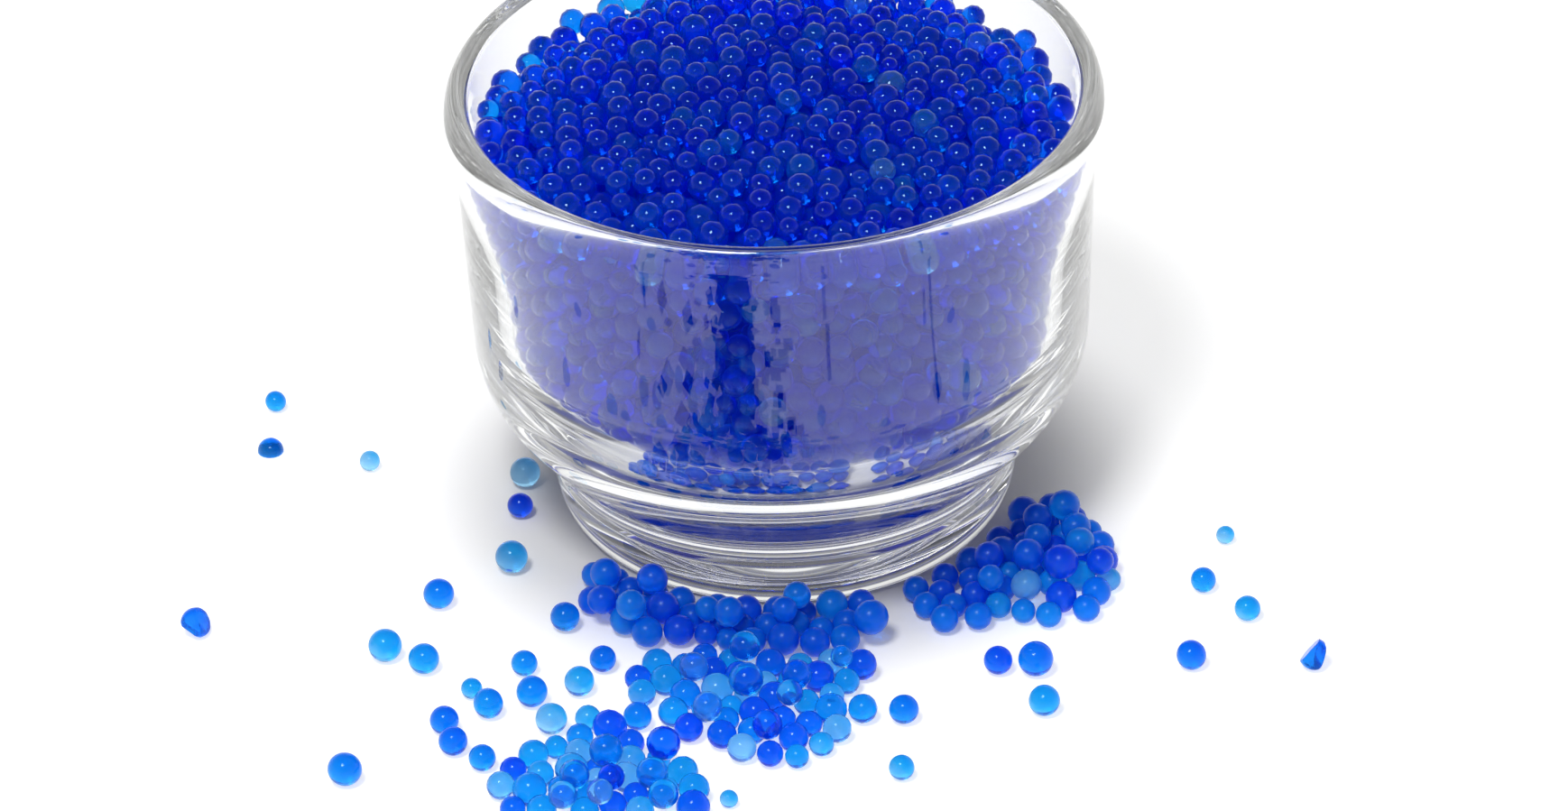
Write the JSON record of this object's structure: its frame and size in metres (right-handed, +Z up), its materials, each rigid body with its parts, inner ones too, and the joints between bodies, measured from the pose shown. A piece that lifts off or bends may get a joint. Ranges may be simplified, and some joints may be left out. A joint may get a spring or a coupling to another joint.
{
  "type": "desiccant dish",
  "caption": "Open dish of thick clear pressed glass on a waisted foot, heaped with blue indicating silica gel beads, with more beads spilled round it.",
  "frame": {"origin": "centre of the foot's underside, on the surface the dish stands on", "axes": "+Z up along the bowl's axis, -Y towards the viewer, where most of the spilled beads lie"},
  "size_m": [0.1468, 0.1207, 0.062],
  "materials": {
    "clear_glass": "fire-polished pressed glass, clear and smooth",
    "charge_gel": "bulk of small translucent blue beads",
    "silica_gel": "glassy translucent silica gel bead"
  },
  "bodies": {
    "bowl": {"glass_bowl": "clear_glass"},
    "charge": {"bead_charge": "charge_gel"},
    "front_spill": {"front_band_heap": "charge_gel", "front_trail_heap": "charge_gel", "front_corner_heap": "charge_gel", "front_bead_01": "silica_gel", "front_bead_02": "silica_gel", "front_bead_03": "silica_gel", "front_bead_04": "silica_gel", "front_bead_05": "silica_gel", "front_bead_06": "silica_gel", "front_bead_07": "silica_gel", "front_bead_08": "silica_gel", "front_bead_09": "silica_gel", "front_bead_10": "silica_gel", "front_bead_11": "silica_gel", "front_bead_12": "silica_gel", "front_bead_13": "silica_gel", "front_bead_14": "silica_gel", "front_bead_15": "silica_gel", "front_bead_16": "silica_gel", "front_bead_17": "silica_gel", "front_bead_18": "silica_gel"},
    "right_spill": {"right_heap": "charge_gel", "right_bead_01": "silica_gel", "right_bead_02": "silica_gel", "right_bead_03": "silica_gel", "right_bead_04": "silica_gel", "right_bead_05": "silica_gel", "right_bead_06": "silica_gel", "right_bead_07": "silica_gel", "right_bead_08": "silica_gel"},
    "left_spill": {"left_bead_01": "silica_gel", "left_bead_02": "silica_gel", "left_bead_03": "silica_gel", "left_bead_04": "silica_gel", "left_bead_05": "silica_gel", "left_bead_06": "silica_gel", "left_bead_07": "silica_gel", "left_bead_08": "silica_gel"}
  },
  "joints": [
    {"name": "charge_lift", "type": "slide", "parent": "bowl", "child": "charge", "axis": [0, 0, 1], "range_m": [0, 0.055]},
    {"name": "front_sweep", "type": "slide", "parent": "bowl", "child": "front_spill", "axis": [-0.2756, -0.9613, 0], "range_m": [0, 0.03]},
    {"name": "right_sweep", "type": "slide", "parent": "bowl", "child": "right_spill", "axis": [0.8387, -0.5446, 0], "range_m": [0, 0.03]},
    {"name": "left_sweep", "type": "slide", "parent": "bowl", "child": "left_spill", "axis": [-0.9962, -0.0872, 0], "range_m": [0, 0.03]}
  ]
}
